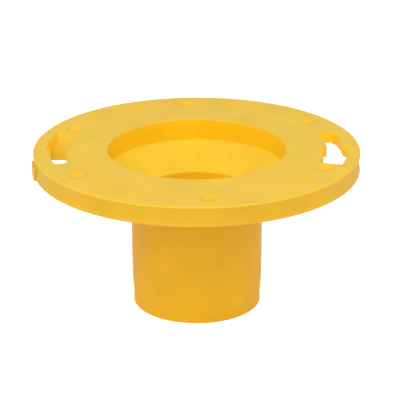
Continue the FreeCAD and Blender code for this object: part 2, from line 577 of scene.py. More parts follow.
class HighlightMesh:
    """A bmesh in millimetres whose points also carry the strength of a painted highlight."""

    def __init__(self) -> None:
        """Start empty."""
        self.bm = bmesh.new()
        self.wear = self.bm.verts.layers.float.new(HIGHLIGHT_LAYER)

    def point(self, x: float, y: float, z: float, wear: float = 0.0) -> bmesh.types.BMVert:
        """Add one point.

        Args:
            x: place along +X.
            y: place along +Y.
            z: place along +Z.
            highlight: strength of the point's painted highlight, from 0 to 1.

        Returns:
            The point.
        """
        made = self.bm.verts.new((x, y, z))
        made[self.wear] = wear
        return made

    def ring(
        self, outline: Sequence[Point2], out: Sequence[Vector], station: Station
    ) -> list[bmesh.types.BMVert]:
        """Add an outline moved outwards by a station's distance, at its depth.

        Args:
            outline: points of the outline.
            out: its outward directions.
            station: the distance, depth and painted highlight strength.

        Returns:
            The ring's points.
        """
        return [
            self.point(x + away.x * station.across, y + away.y * station.across, -station.depth, station.wear)
            for (x, y), away in zip(outline, out)
        ]

    def bridge(self, first: Sequence[bmesh.types.BMVert], second: Sequence[bmesh.types.BMVert]) -> None:
        """Join two rings of equal length with quads."""
        count = len(first)
        for index in range(count):
            after = (index + 1) % count
            self.bm.faces.new((first[index], first[after], second[after], second[index]))

    def sweep(
        self,
        outline: Sequence[Point2],
        out: Sequence[Vector],
        section: Sequence[Station],
        closed: bool = False,
    ) -> list[list[bmesh.types.BMVert]]:
        """Sweep a section round an outline.

        Args:
            outline: points of the outline.
            out: its outward directions.
            section: stations of the section.
            closed: whether the last station joins the first.

        Returns:
            The rings of points, one for each station.
        """
        rings = [self.ring(outline, out, station) for station in section]
        for first, second in zip(rings, rings[1:] + rings[:1] if closed else rings[1:]):
            self.bridge(first, second)
        return rings

    def fill(self, rings: Sequence[Sequence[bmesh.types.BMVert]]) -> None:
        """Fill the flat area between an outer ring and the rings of its openings.

        Args:
            rings: the outer ring first, then one for each opening.
        """
        points = [vert for ring in rings for vert in ring]
        loops, first = [], 0
        for ring in rings:
            loops.append(list(range(first, first + len(ring))))
            first += len(ring)
        leave_openings, merge_distance = 2, 1e-5
        plan = [vert.co.to_2d() for vert in points]
        _, _, faces, origins, _, _ = delaunay_2d_cdt(plan, [], loops, leave_openings, merge_distance)
        for face in faces:
            self.bm.faces.new([points[origins[corner][0]] for corner in face])

    def polar_block(
        self, radii: Point2, angles: Point2, top: HeightAt, bottom: HeightAt, parts: int = 12
    ) -> None:
        """Add a closed block between two radii and two angles.

        Args:
            radii: inner and outer radius.
            angles: start and end angle in degrees.
            top: height of the top at a radius and an angle.
            bottom: height of the bottom at a radius and an angle.
            parts: how many parts the block has along its arc.
        """
        sections = []
        for part in range(parts + 1):
            angle = radians(angles[0] + (angles[1] - angles[0]) * part / parts)
            corners = []
            for radius, height in ((radii[0], top), (radii[1], top), (radii[1], bottom), (radii[0], bottom)):
                corners.append(self.point(radius * cos(angle), radius * sin(angle), height(radius, angle)))
            sections.append(corners)
        for first, second in zip(sections, sections[1:]):
            self.bridge(first, second)
        self.bm.faces.new(sections[0][::-1])
        self.bm.faces.new(sections[-1])

    def mesh(self, name: str) -> bpy.types.Mesh:
        """Finish: point every face outwards and write the mesh in metres."""
        bmesh.ops.recalc_face_normals(self.bm, faces=self.bm.faces)
        return finished_mesh(self.bm, name)


class Height:
    """Flat height, as a function of radius and angle."""

    def __init__(self, z: float) -> None:
        """Keep the height."""
        self.z = z

    def __call__(self, radius: float, angle: float) -> float:
        """Height at a radius and an angle."""
        return self.z


class Slope(Height):
    """Sloping plane that falls along the tangent at one angle."""

    def __init__(self, angle_deg: float, z: float, fall: float, ceiling: float) -> None:
        """Keep the slope's measures.

        Args:
            angle_deg: angle of the middle, in degrees.
            z: height there.
            fall: fall per millimetre.
            ceiling: the greatest height.
        """
        super().__init__(z)
        self.angle, self.fall, self.ceiling = radians(angle_deg), fall, ceiling

    def __call__(self, radius: float, angle: float) -> float:
        """Height at a radius and an angle."""
        return min(self.ceiling, self.z - self.fall * radius * sin(angle - self.angle))


# --------------------------------------------------------------------------------------- node trees


class PieceTree(NodeWriter):
    """Geometry Nodes tree with named inputs that ends in Realize Instances and Set Material."""

    name = "piece"
    sizes: tuple[tuple[str, str], ...] = ()

    def __init__(self) -> None:
        """Build the tree."""
        self.tree = bpy.data.node_groups.new(self.name, "GeometryNodeTree")
        face = self.tree.interface
        face.new_socket("Source", in_out="INPUT", socket_type="NodeSocketGeometry")
        self.ids = {
            name: face.new_socket(name, in_out="INPUT", socket_type=kind).identifier
            for name, kind in (*self.sizes, ("Material", "NodeSocketMaterial"))
        }
        face.new_socket("Result", in_out="OUTPUT", socket_type="NodeSocketGeometry")
        self.given = self.node("NodeGroupInput")
        real = self.node("GeometryNodeRealizeInstances", {"Geometry": self.shape()})
        material = self.given.outputs["Material"]
        dressed = self.node("GeometryNodeSetMaterial", {"Geometry": real.outputs[0], "Material": material})
        self.node("NodeGroupOutput", {"Result": dressed.outputs[0]})

    def shape(self) -> bpy.types.NodeSocket:
        """Add the nodes that make the shape, and give their result."""
        return self.given.outputs["Source"]

    def grow(self, source: bpy.types.Object, name: str, **values: object) -> bpy.types.Object:
        """Run the tree on an object and keep the result as a plain mesh.

        Args:
            source: the curve or mesh that the tree starts from. It is removed.
            name: name of the new piece.
            values: the tree's inputs, by name with underscores for spaces.

        Returns:
            The new piece, with its mesh in metres.
        """
        modifier = source.modifiers.new(self.name, "NODES")
        modifier.node_group = self.tree
        for key, value in values.items():
            modifier[self.ids[key.replace("_", " ")]] = value
        evaluated = source.evaluated_get(bpy.context.evaluated_depsgraph_get())
        mesh = bpy.data.meshes.new_from_object(evaluated)
        source.modifiers.remove(modifier)
        bpy.data.objects.remove(source)
        mesh.name = name
        shade(mesh)
        return new_object(name, mesh)


class LatheTree(PieceTree):
    """Turns a closed profile curve about +Z."""

    name = "lathe"
    sizes = (("Steps", "NodeSocketInt"), ("Core Radius", "NodeSocketFloat"))

    def shape(self) -> bpy.types.NodeSocket:
        """Sweep the profile round a circle.

        Returns:
            The mesh.
        """
        sizes = {"Resolution": self.given.outputs["Steps"], "Radius": self.given.outputs["Core Radius"]}
        path = self.node("GeometryNodeCurvePrimitiveCircle", sizes)
        ends = {"Curve": path.outputs["Curve"], "Profile Curve": self.given.outputs["Source"]}
        return self.node("GeometryNodeCurveToMesh", ends).outputs["Mesh"]


class AroundTree(PieceTree):
    """Repeats one shape round +Z, at even angles, in as many even groups as asked."""

    name = "around_axis"
    half_a_place = 0.5
    sizes = (
        ("Count", "NodeSocketInt"),
        ("Group Size", "NodeSocketInt"),
        ("First Angle", "NodeSocketFloat"),
        ("Pitch", "NodeSocketFloat"),
        ("Group Pitch", "NodeSocketFloat"),
        ("Empty Place", "NodeSocketInt"),
    )

    def shape(self) -> bpy.types.NodeSocket:
        """Place a copy at each angle.

        Returns:
            The copies.
        """
        given = self.given.outputs
        points = self.node("GeometryNodePoints", {"Count": given["Count"], "Position": (0.0, 0.0, 0.0)})
        index = self.node("GeometryNodeInputIndex").outputs["Index"]
        group = self.math("FLOOR", self.math("DIVIDE", index, given["Group Size"]))
        place = self.math("SUBTRACT", index, self.math("MULTIPLY", group, given["Group Size"]))
        turn = self.math("ADD", given["First Angle"], self.math("MULTIPLY", place, given["Pitch"]))
        turn = self.math("ADD", turn, self.math("MULTIPLY", group, given["Group Pitch"]))
        rotation = self.node("ShaderNodeCombineXYZ", {"Z": self.math("RADIANS", turn)})
        apart = self.math("ABSOLUTE", self.math("SUBTRACT", place, given["Empty Place"]))
        taken = self.math("GREATER_THAN", apart, self.half_a_place)
        inputs = {
            "Points": points.outputs[0],
            "Selection": taken,
            "Instance": given["Source"],
            "Rotation": rotation.outputs[0],
        }
        return self.node("GeometryNodeInstanceOnPoints", inputs).outputs["Instances"]


class MarkRowTree(PieceTree):
    """Lays a row of short bars of uneven length along an arc round +Z."""

    name = "mark_row"
    share_left_out = 0.16
    smallest = (0.45, 0.75, 1.0)
    largest = (1.0, 1.5, 1.0)
    sizes = (
        ("Count", "NodeSocketInt"),
        ("Start", "NodeSocketFloat"),
        ("End", "NodeSocketFloat"),
        ("Radius", "NodeSocketFloat"),
        ("Seed", "NodeSocketInt"),
    )

    def shape(self) -> bpy.types.NodeSocket:
        """Place a bar at each step of the arc, and leave some steps empty.

        Returns:
            The bars.
        """
        given = self.given.outputs
        points = self.node("GeometryNodePoints", {"Count": given["Count"]})
        index = self.node("GeometryNodeInputIndex").outputs["Index"]
        share = self.math("DIVIDE", self.math("ADD", index, 0.5), given["Count"])
        span = self.math("SUBTRACT", given["End"], given["Start"])
        turn = self.math("RADIANS", self.math("ADD", given["Start"], self.math("MULTIPLY", share, span)))
        east = self.math("MULTIPLY", given["Radius"], self.math("COSINE", turn))
        north = self.math("MULTIPLY", given["Radius"], self.math("SINE", turn))
        place = self.node("ShaderNodeCombineXYZ", {"X": east, "Y": north}).outputs[0]
        spots = self.node("GeometryNodeSetPosition", {"Geometry": points.outputs[0], "Position": place})
        chance = {"Min": 0.0, "Max": 1.0, "Seed": given["Seed"]}
        gap = self.node("FunctionNodeRandomValue", chance, data_type="FLOAT").outputs[1]
        kept = self.math("GREATER_THAN", gap, self.share_left_out)
        sizes = self.node("FunctionNodeRandomValue", data_type="FLOAT_VECTOR")
        sizes.inputs[0].default_value = self.smallest
        sizes.inputs[1].default_value = self.largest
        self.tree.links.new(given["Seed"], sizes.inputs["Seed"])
        rotation = self.node("ShaderNodeCombineXYZ", {"Z": turn})
        inputs = {
            "Points": spots.outputs[0],
            "Selection": kept,
            "Instance": given["Source"],
            "Rotation": rotation.outputs[0],
            "Scale": sizes.outputs[0],
        }
        return self.node("GeometryNodeInstanceOnPoints", inputs).outputs["Instances"]


def new_object(name: str, data: bpy.types.ID) -> bpy.types.Object:
    """Object for a mesh, curve, light or camera, linked to the scene at the origin.

    Args:
        name: name of the object.
        data: what it shows.

    Returns:
        The object.
    """
    made = bpy.data.objects.new(name, data)
    bpy.context.scene.collection.objects.link(made)
    return made


def profile_curve(profile: Sequence[Station], core_r: float) -> bpy.types.Object:
    """Closed curve through a profile's stations, as the lathe tree takes it.

    Args:
        profile: stations in order.
        core_r: radius of the lathe's circle, which the distances across are counted from.

    Returns:
        The curve's object.
    """
    curve = bpy.data.curves.new("profile", "CURVE")
    curve.dimensions = "3D"
    spline = curve.splines.new("POLY")
    spline.points.add(len(profile) - 1)
    for point, station in zip(spline.points, profile):
        point.co = ((station.across - core_r) * MM, station.depth * MM, 0.0, 1.0)
    spline.use_cyclic_u = True
    return new_object("profile", curve)


# ------------------------------------------------------------------------------------------- members


@dataclass
class Workshop:
    """What every member needs: the sizes and the shared node trees."""

    sizes: FlangeSizes
    lathe: LatheTree
    around: AroundTree
    mark_row: MarkRowTree
    steps: int = 256

    def turned(self, name: str, profile: Sequence[Station], plastic: MouldedPlastic) -> bpy.types.Object:
        """Turn a profile about +Z and carry its painted edge highlight onto the mesh.

        Args:
            name: name of the piece.
            profile: stations from the inner top, outwards, down and back inwards.
            plastic: the finish.

        Returns:
            The new piece.
        """
        core_r = 1.0
        source = profile_curve(profile, core_r)
        inputs = {"Steps": self.steps, "Core_Radius": core_r * MM, "Material": plastic.material()}
        piece = self.lathe.grow(source, name, **inputs)
        # Painted edge highlight, per point from the profile's stations.
        wear = piece.data.attributes.new(HIGHLIGHT_LAYER, "FLOAT", "POINT")
        count = len(piece.data.vertices)
        wear.data.foreach_set("value", [profile[index % len(profile)].wear for index in range(count)])
        return piece


class Member:
    """One member of the moulding. A subclass says its name, the nodes it stands for and its finish."""

    name = "member"
    nodes: tuple[str, ...] = ()
    plastic = DECK_LIT_PLASTIC

    def __init__(self, shop: Workshop) -> None:
        """Keep the workshop and its sizes."""
        self.shop = shop
        self.sizes = shop.sizes

    def build(self) -> bpy.types.Object:
        """Make the member's mesh."""
        raise NotImplementedError

    def dress(self, piece: bpy.types.Object) -> None:
        """Give the piece its finish, unless its node tree has.

        Args:
            piece: the piece.
        """
        if not piece.data.materials:
            piece.data.materials.append(self.plastic.material())
        elif piece.data.materials[0] is None:
            piece.data.materials[0] = self.plastic.material()

    def finish(self) -> bpy.types.Object:
        """Build and dress the member, and tie it to the frame.

        Returns:
            The finished piece.
        """
        piece = self.build()
        self.dress(piece)
        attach(piece, BODY)
        if self.nodes:
            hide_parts(*self.nodes)
        log.info("%s: %d faces", piece.name, len(piece.data.polygons))
        return piece


@dataclass(frozen=True)
class RimSection:
    """Outer side of the flange: rounded edges with a shallow waist between them."""

    rim_r: float
    depth: float
    edge_r: float = 1.0
    waist_depth: float = 0.6
    waist_steps: int = 12

    def reach(self, depth: float) -> float:
        """Radius of the waist at a depth.

        Args:
            depth: depth below the sealing face.

        Returns:
            The radius.
        """
        half = self.depth / 2.0 - self.edge_r
        bow = (half**2 + self.waist_depth**2) / (2.0 * self.waist_depth)
        off = depth - self.depth / 2.0
        return self.rim_r - self.waist_depth + bow - (bow**2 - off**2) ** 0.5

    def waist(self, top: float, bottom: float) -> list[Station]:
        """Stations down the waist, with the radius as the distance across."""
        depths = [top + (bottom - top) * step / self.waist_steps for step in range(self.waist_steps + 1)]
        return [Station(self.reach(depth), depth) for depth in depths]


@dataclass(frozen=True)
class KeyholeSlot:
    """Outline of one closet bolt slot. Angles are in degrees."""

    mouth_start: float = -24.4
    channel_start: float = -3.9
    channel_end: float = 13.6
    mouth_radii: Point2 = (69.9, 82.5)
    channel_radii: Point2 = (71.9, 80.7)
    mouth_corner_r: float = 0.8
    channel_corner_r: float = 2.0
    lip_r: float = 0.35
    spacing: float = 0.6

    def outline(self, turn_deg: float) -> list[Point2]:
        """Outline in plan, turned about the axis.

        The outline is laid out straight, with arc length at the middle radius along it, and then bent.

        Args:
            turn_deg: turn about the axis.

        Returns:
            Points of the outline.
        """
        middle = sum(self.mouth_radii) / 2.0
        start, step, end = (
            radians(angle) * middle for angle in (self.mouth_start, self.channel_start, self.channel_end)
        )
        wide, narrow = self.mouth_radii, self.channel_radii
        corner, tip = self.mouth_corner_r, self.channel_corner_r
        corners = [
            (start, wide[0], corner),
            (step, wide[0], corner),
            (step, narrow[0], corner),
            (end, narrow[0], tip),
            (end, narrow[1], tip),
            (step, narrow[1], corner),
            (step, wide[1], corner),
            (start, wide[1], corner),
        ]
        bent = []
        for along, radius in rounded_outline(corners, self.spacing):
            angle = along / middle + radians(turn_deg)
            bent.append((radius * cos(angle), radius * sin(angle)))
        return bent


class DeckPlate(Member):
    """Top plate of the flange, with its throat, keyhole slots and countersunk screw holes."""

    name = "deck_plate"
    nodes = ("flange_deck",)
    throat_lip_r = 0.8
    countersink_r = 5.0
    countersink_lip_r = 0.25
    countersink_steps = 48
    first_screw_deg = 30.0
    support = 0.2

    def hole_section(self, lip_r: float, wear: float) -> list[Station]:
        """Section of a straight-walled hole with a rounded lip, outwards from the hole's outline."""
        lip = edge_round(lip_r, lip_r, lip_r, 0.0, -90.0, wear)
        return [Station(lip_r + self.support, 0.0), *lip, Station(0.0, self.sizes.deck_depth)]

    def screw_section(self) -> list[Station]:
        """Section of a countersunk hole, measured from the countersink's edge.

        Returns:
            The stations, downwards.
        """
        lip_r = self.countersink_lip_r
        sink = self.countersink_r - self.sizes.screw_hole_r
        lip = edge_round(lip_r, lip_r, lip_r, 0.0, -45.0, HOLE_HIGHLIGHT)
        inner = [Station(-sink, sink), Station(-sink, self.sizes.deck_depth)]
        return [Station(lip_r + self.support, 0.0), *lip, *inner]

    def rim_section(self) -> list[Station]:
        """Section of the rim's upper half, measured from the rim's greatest radius.

        Returns:
            The stations, downwards.
        """
        rim = RimSection(self.sizes.rim_r, self.sizes.rim_depth)
        edge = edge_round(-rim.edge_r, rim.edge_r, rim.edge_r, 0.0, 90.0, RIM_HIGHLIGHT)
        side = rim.waist(rim.edge_r, self.sizes.deck_depth)[1:]
        side = [Station(station.across - rim.rim_r, station.depth) for station in side]
        return [Station(-rim.edge_r - self.support, 0.0), *edge, *side]

    def build(self) -> bpy.types.Object:
        """Sweep each section round its outline, then fill the top and the underside between them.

        Returns:
            The deck.
        """
        sizes, shop = self.sizes, self.shop
        slot = KeyholeSlot()
        outlines = [
            (circle(sizes.rim_r, 2 * shop.steps), self.rim_section()),
            (circle(sizes.throat_r, shop.steps), self.hole_section(self.throat_lip_r, THROAT_HIGHLIGHT)),
        ]
        outlines += [(slot.outline(turn), self.hole_section(slot.lip_r, HOLE_HIGHLIGHT)) for turn in (0.0, 180.0)]
        for index in range(sizes.screw_count):
            angle = radians(self.first_screw_deg + 360.0 / sizes.screw_count * index)
            centre = (sizes.bolt_circle_r * cos(angle), sizes.bolt_circle_r * sin(angle))
            edge = circle(self.countersink_r, self.countersink_steps, centre)
            outlines.append((edge, self.screw_section()))
        work = HighlightMesh()
        tops, bottoms = [], []
        for outline, section in outlines:
            rings = work.sweep(outline, outward_normals(outline), section)
            tops.append(rings[0])
            bottoms.append(rings[-1])
        work.fill(tops)
        work.fill(bottoms)
        return new_object(self.name, work.mesh(self.name))

    def dress(self, piece: bpy.types.Object) -> None:
        """Give the deck its finish, and the rim's side a copy whose upright tone is darker, as painted shade.

        Args:
            piece: the deck.
        """
        super().dress(piece)
        # Painted shade: faces out on the rim's edge round and side take the darker copy.
        piece.data.materials.append(RIM_SHADED_PLASTIC.material())
        edge_start = (self.sizes.rim_r - RimSection.edge_r) * MM
        for face in piece.data.polygons:
            face.material_index = int(face.center.xy.length > edge_start)


class RimSkirt(Member):
    """Lower half of the rim, down to the floor."""

    name = "rim_skirt_ring"
    nodes = ("rim_skirt",)
    plastic = RIM_SHADED_PLASTIC

    def build(self) -> bpy.types.Object:
        """Turn the skirt.

        Returns:
            The skirt.
        """
        sizes = self.sizes
        rim = RimSection(sizes.rim_r, sizes.rim_depth)
        inner, top, bottom = sizes.skirt_inner_r, sizes.deck_depth, sizes.rim_depth
        edge = edge_round(rim.rim_r - rim.edge_r, bottom - rim.edge_r, rim.edge_r, 90.0, 180.0, RIM_HIGHLIGHT)
        side = rim.waist(top, bottom - rim.edge_r)[:-1]
        profile = [Station(inner, top), *side, *edge, Station(inner, bottom)]
        return self.shop.turned(self.name, profile, self.plastic)


class ThroatCollar(Member):
    """Straight wall of the throat below the deck."""

    name = "throat_collar_wall"
    nodes = ("throat_collar",)
    plastic = THROAT_LIT_PLASTIC

    def build(self) -> bpy.types.Object:
        """Turn the collar.

        Returns:
            The collar.
        """
        sizes = self.sizes
        profile = straight_wall(sizes.throat_r, sizes.collar_r, sizes.deck_depth, sizes.throat_depth)
        return self.shop.turned(self.name, profile, self.plastic)


class ReducerCone(Member):
    """Cone that narrows the throat to the spigot's bore."""

    name = "reducer_cone_wall"
    nodes = ("reducer_cone",)
    plastic = THROAT_LIT_PLASTIC
    wall = 4.0

    def build(self) -> bpy.types.Object:
        """Turn the cone, of even wall.

        Returns:
            The cone.
        """
        sizes = self.sizes
        run = sizes.throat_r - sizes.bore_r
        fall = (sizes.cone_foot_depth - sizes.throat_depth) / run
        collar_wall = sizes.collar_r - sizes.throat_r
        shoulder = sizes.throat_depth + self.wall * hypot(1.0, fall) - collar_wall * fall
        profile = [
            Station(sizes.throat_r, sizes.throat_depth),
            Station(sizes.collar_r, sizes.throat_depth),
            Station(sizes.collar_r, shoulder),
            Station(sizes.spigot_r, sizes.cone_depth),
            Station(sizes.bore_r, sizes.cone_depth),
            Station(sizes.bore_r, sizes.cone_foot_depth),
        ]
        return self.shop.turned(self.name, profile, self.plastic)


class LinedTube(Member):
    """Length of the spigot, in a darker copy of the plastic as painted shade, whose bore has the throat's
    brighter painted-light tone.
    """

    plastic = SPIGOT_SHADED_PLASTIC

    def dress(self, piece: bpy.types.Object) -> None:
        """Give the outside its painted-shade tone, and the bore the throat's painted-light tone.

        Args:
            piece: the length of spigot.
        """
        super().dress(piece)
        # Painted light: the bore's faces take the throat's brighter copy; the outside keeps the darker
        # painted-shade copy.
        piece.data.materials.append(THROAT_LIT_PLASTIC.material())
        middle = (self.sizes.bore_r + self.sizes.spigot_r) / 2.0 * MM
        for face in piece.data.polygons:
            face.material_index = int(face.center.xy.length < middle)


class SpigotTube(LinedTube):
    """Upper length of the spigot."""

    name = "spigot_tube_wall"
    nodes = ("spigot_tube",)
    taper_start = 62.0

    def build(self) -> bpy.types.Object:
        """Turn the tube.

        Returns:
            The tube.
        """
        sizes = self.sizes
        profile = [
            Station(sizes.bore_r, sizes.cone_depth),
            Station(sizes.spigot_r, sizes.cone_depth),
            Station(sizes.spigot_r, self.taper_start),
            Station(sizes.lead_in_r, sizes.lead_in_depth),
            Station(sizes.bore_r, sizes.lead_in_depth),
        ]
        return self.shop.turned(self.name, profile, self.plastic)


class SpigotLeadIn(LinedTube):
    """Narrowed end of the spigot."""

    name = "spigot_lead_in_wall"
    nodes = ("spigot_lead_in",)
    narrow_depth = 83.0
    narrow_r = 35.55

    def build(self) -> bpy.types.Object:
        """Turn the end with its rounded edges.

        Returns:
            The end.
        """
        sizes = self.sizes
        edge, bottom, top = sizes.end_edge, sizes.total_depth, sizes.lead_in_depth
        outer_edge = edge_round(self.narrow_r - edge, bottom - edge, edge, 90.0, 180.0, END_HIGHLIGHT)
        inner_edge = edge_round(sizes.bore_r + edge, bottom - edge, edge, 180.0, 270.0, END_HIGHLIGHT)
        profile = [
            Station(sizes.bore_r, top),
            Station(sizes.lead_in_r, top),
            Station(self.narrow_r, self.narrow_depth),
            *outer_edge,
            *inner_edge,
        ]
        return self.shop.turned(self.name, profile, self.plastic)


class BoltRamp(Member):
    """Sloped plate in the mouth of one keyhole slot, with its cheek walls."""

    foot_deg = -13.6
    foot_depth = 11.0
    plate = 2.4
    tuck_deg = 0.35
    tuck = 0.3

    def __init__(self, shop: Workshop, side: str, turn_deg: float) -> None:
        """Keep the side's name and its turn about the axis.

        Args:
            shop: the workshop.
            side: "right" or "left".
            turn_deg: turn from the right-hand slot, in degrees.
        """
        super().__init__(shop)
        self.name = f"bolt_ramp_{side}_plate"
        self.nodes = (f"bolt_ramp_{side}",)
        self.turn_deg = turn_deg

    def build(self) -> bpy.types.Object:
        """Build the ramp at the right-hand slot and turn it to its own slot.

        Returns:
            The ramp.
        """
        sizes, slot = self.sizes, KeyholeSlot()
        start, foot = slot.mouth_start, self.foot_deg
        middle_deg, middle_r = (start + foot) / 2.0, sum(slot.mouth_radii) / 2.0
        half = middle_r * sin(radians(foot - start) / 2.0)
        fall = self.foot_depth / (2.0 * half)
        thick = self.plate * hypot(1.0, fall)
        top = Slope(middle_deg, -self.foot_depth / 2.0, fall, 0.0)
        floor = -sizes.rim_depth

        def underside(radius: float, angle: float) -> float:
            """Height of the plate's lower face, which stops at the floor."""
            return max(floor, min(-thick, top(radius, angle) - thick))

        work = HighlightMesh()
        across = (slot.mouth_radii[0] - self.tuck, slot.mouth_radii[1] + self.tuck)
        work.polar_block(across, (start - self.tuck_deg, foot), top, underside)
        cheeks = ((sizes.ring_rib_r, slot.mouth_radii[0]), (slot.mouth_radii[1], sizes.skirt_inner_r))
        for radii in cheeks:
            work.polar_block(radii, (start, foot), Height(-sizes.deck_depth), Height(floor))
        bmesh.ops.rotate(work.bm, verts=work.bm.verts, matrix=Matrix.Rotation(radians(self.turn_deg), 3, "Z"))
        return new_object(self.name, work.mesh(self.name))


class GateTab(Member):
    """Low pad on the rim's side where the plastic entered the mould."""

    name = "gate_tab_pad"
    nodes = ("gate_tab",)
    plastic = RIM_SHADED_PLASTIC
    angles = (180.8, 189.5)
    top_depth = 4.0
    inset = 1.5
    bevel = 0.3
    parts = 16

    def build(self) -> bpy.types.Object:
        """Build the pad and round its edges.

        Returns:
            The pad.
        """
        sizes = self.sizes
        proud_r = -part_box("gate_tab")[0].x / MM
        work = HighlightMesh()
        radii = (sizes.rim_r - self.inset, proud_r)
        heights = (Height(-self.top_depth), Height(-sizes.rim_depth))
        work.polar_block(radii, self.angles, *heights, self.parts)
        piece = new_object(self.name, work.mesh(self.name))
        return beveled(piece, self.bevel)


def beveled(piece: bpy.types.Object, width: float, segments: int = 3) -> bpy.types.Object:
    """Round the sharp edges of a piece and keep the result as its mesh.

    Args:
        piece: the piece, in metres.
        width: width of the rounding in millimetres.
        segments: how many faces the rounding has across.

    Returns:
        The same piece.
    """
    modifier = piece.modifiers.new("rounded_edges", "BEVEL")
    modifier.width = width * MM
    modifier.segments = segments
    modifier.limit_method = "ANGLE"
    modifier.angle_limit = BEVEL_ABOVE
    evaluated = piece.evaluated_get(bpy.context.evaluated_depsgraph_get())
    mesh = bpy.data.meshes.new_from_object(evaluated)
    piece.modifiers.remove(modifier)
    piece.data = mesh
    shade(mesh)
    return piece


class RingRib(Member):
    """Round rib under the deck."""

    name = "ring_rib_wall"
    nodes = ("ring_rib",)

    def build(self) -> bpy.types.Object:
        """Turn the rib.

        Returns:
            The rib.
        """
        sizes = self.sizes
        inner = sizes.ring_rib_r - sizes.rib_wall
        profile = straight_wall(inner, sizes.ring_rib_r, sizes.deck_depth, sizes.rim_depth)
        return self.shop.turned(self.name, profile, self.plastic)


@dataclass(frozen=True)
class Repeat:
    """How a shape repeats round the axis: in even groups at a pitch, with one place left empty."""

    count: int
    group_size: int
    first_angle: float
    pitch: float
    group_pitch: float = 0.0
    empty_place: int = -1

    def inputs(self) -> dict[str, float]:
        """Values for the inputs of the tree."""
        return {name.title(): value for name, value in vars(self).items()}


class RadialRibs(Member):
    """Straight ribs between two round walls under the deck."""

    thickness = 2.5

    def __init__(self, shop: Workshop, name: str, node: str, radii: Point2, repeat: Repeat) -> None:
        """Keep where the ribs run and how they repeat.

        Args:
            shop: the workshop.
            name: name of the piece.
            node: the node it stands for.
            radii: inner and outer end of each rib.
            repeat: how they repeat round the axis.
        """
        super().__init__(shop)
        self.name, self.nodes, self.radii, self.repeat = name, (node,), radii, repeat

    def build(self) -> bpy.types.Object:
        """Build one rib along +X and repeat it.

        Returns:
            The ribs.
        """
        sizes = self.sizes
        half_deg = degrees(self.thickness / sum(self.radii))
        work = HighlightMesh()
        heights = (Height(-sizes.deck_depth), Height(-sizes.rim_depth))
        work.polar_block(self.radii, (-half_deg, half_deg), *heights, parts=2)
        rib = new_object("rib", work.mesh("rib"))
        material = self.plastic.material()
        return self.shop.around.grow(rib, self.name, Material=material, **self.repeat.inputs())


class ScrewBosses(Member):
    """Pads under the screw holes."""

    name = "screw_boss_pads"
    nodes = ("screw_bosses",)
    steps = 48
    foot_edge = 0.4

    def build(self) -> bpy.types.Object:
        """Build one boss on the bolt circle and repeat it.

        Returns:
            The bosses.
        """
        sizes = self.sizes
        work = HighlightMesh()
        out = outward_normals(circle(1.0, self.steps))
        centre = (sizes.bolt_circle_r, 0.0)
        outline = circle(sizes.screw_hole_r, self.steps, centre)
        wall = sizes.boss_r - sizes.screw_hole_r
        top, bottom, edge = sizes.deck_depth, sizes.rim_depth, self.foot_edge
        section = [
            Station(0.0, top),
            Station(wall, top),
            Station(wall, bottom - edge),
            Station(wall - edge, bottom),
            Station(0.0, bottom),
        ]
        work.sweep(outline, out, section, closed=True)
        boss = new_object("boss", work.mesh("boss"))
        count = sizes.screw_count
        repeat = Repeat(count, count, DeckPlate.first_screw_deg, 360.0 / count)
        material = self.plastic.material()
        return self.shop.around.grow(boss, self.name, Material=material, **repeat.inputs())


class RaisedMarks(Member):
    """Rows of plain raised bars on the bolt circle, between the screws."""

    name = "raised_marks"
    rows = (
        (221.0, 251.0, 22),
        (279.0, 290.0, 8),
        (304.0, 318.0, 10),
        (40.0, 82.0, 28),
        (98.0, 140.0, 28),
    )
    bar = (4.4, 0.95, 0.22)
    bar_round = 0.25
    bar_segments = 2
    radius = 75.3

    def build(self) -> bpy.types.Object:
        """Lay each row and join them.

        Returns:
            The rows as one piece.
        """
        material = self.plastic.material()
        rows = []
        for seed, (start, end, count) in enumerate(self.rows):
            bar = self.one_bar()
            inputs = {"Count": count, "Start": start, "End": end, "Radius": self.radius * MM, "Seed": seed}
            rows.append(self.shop.mark_row.grow(bar, f"row_{seed}", Material=material, **inputs))
        return joined(rows, self.name)

    def one_bar(self) -> bpy.types.Object:
        """One bar with rounded edges, long side along +X, standing on the deck.

        Returns:
            The bar.
        """
        bm = bmesh.new()
        bmesh.ops.create_cube(bm, size=1.0)
        length, width, height = self.bar
        bmesh.ops.scale(bm, vec=(length, width, 2.0 * height), verts=bm.verts)
        piece = new_object("bar", finished_mesh(bm, "bar"))
        return beveled(piece, self.bar_round, self.bar_segments)


def joined(pieces: Sequence[bpy.types.Object], name: str) -> bpy.types.Object:
    """Join several meshes at the origin into one piece.

    Args:
        pieces: the meshes' objects, which are removed.
        name: name of the new piece.

    Returns:
        The new piece.
    """
    bm = bmesh.new()
    for piece in pieces:
        bm.from_mesh(piece.data)
    material = pieces[0].data.materials[0]
    for piece in pieces:
        bpy.data.objects.remove(piece)
    mesh = finished_mesh(bm, name, 1.0)
    mesh.materials.append(material)
    return new_object(name, mesh)


# -------------------------------------------------------------------------------------------- studio


@dataclass(frozen=True)
class Softbox:
    """Square area light aimed at a point on the flange's axis. Lengths are metres."""

    name: str
    azimuth_deg: float
    elevation_deg: float
    distance: float
    side: float
    power: float

    def place(self, target: Vector) -> bpy.types.Object:
        """Create the light.

        Args:
            target: the point it is aimed at.

        Returns:
            The light.
        """
        data = bpy.data.lights.new(self.name, "AREA")
        data.shape = "SQUARE"
        data.size = self.side
        data.energy = self.power
        made = new_object(self.name, data)
        back = direction(self.azimuth_deg, self.elevation_deg)
        made.location = target + back * self.distance
        made.rotation_mode = "QUATERNION"
        made.rotation_quaternion = (-back).to_track_quat("-Z", "Y")
        return made


def direction(azimuth_deg: float, elevation_deg: float) -> Vector:
    """Unit vector towards a viewpoint. Azimuth 0 stands in front, on the -Y side."""
    azimuth, elevation = radians(azimuth_deg), radians(elevation_deg)
    return Vector((sin(azimuth) * cos(elevation), -cos(azimuth) * cos(elevation), sin(elevation)))


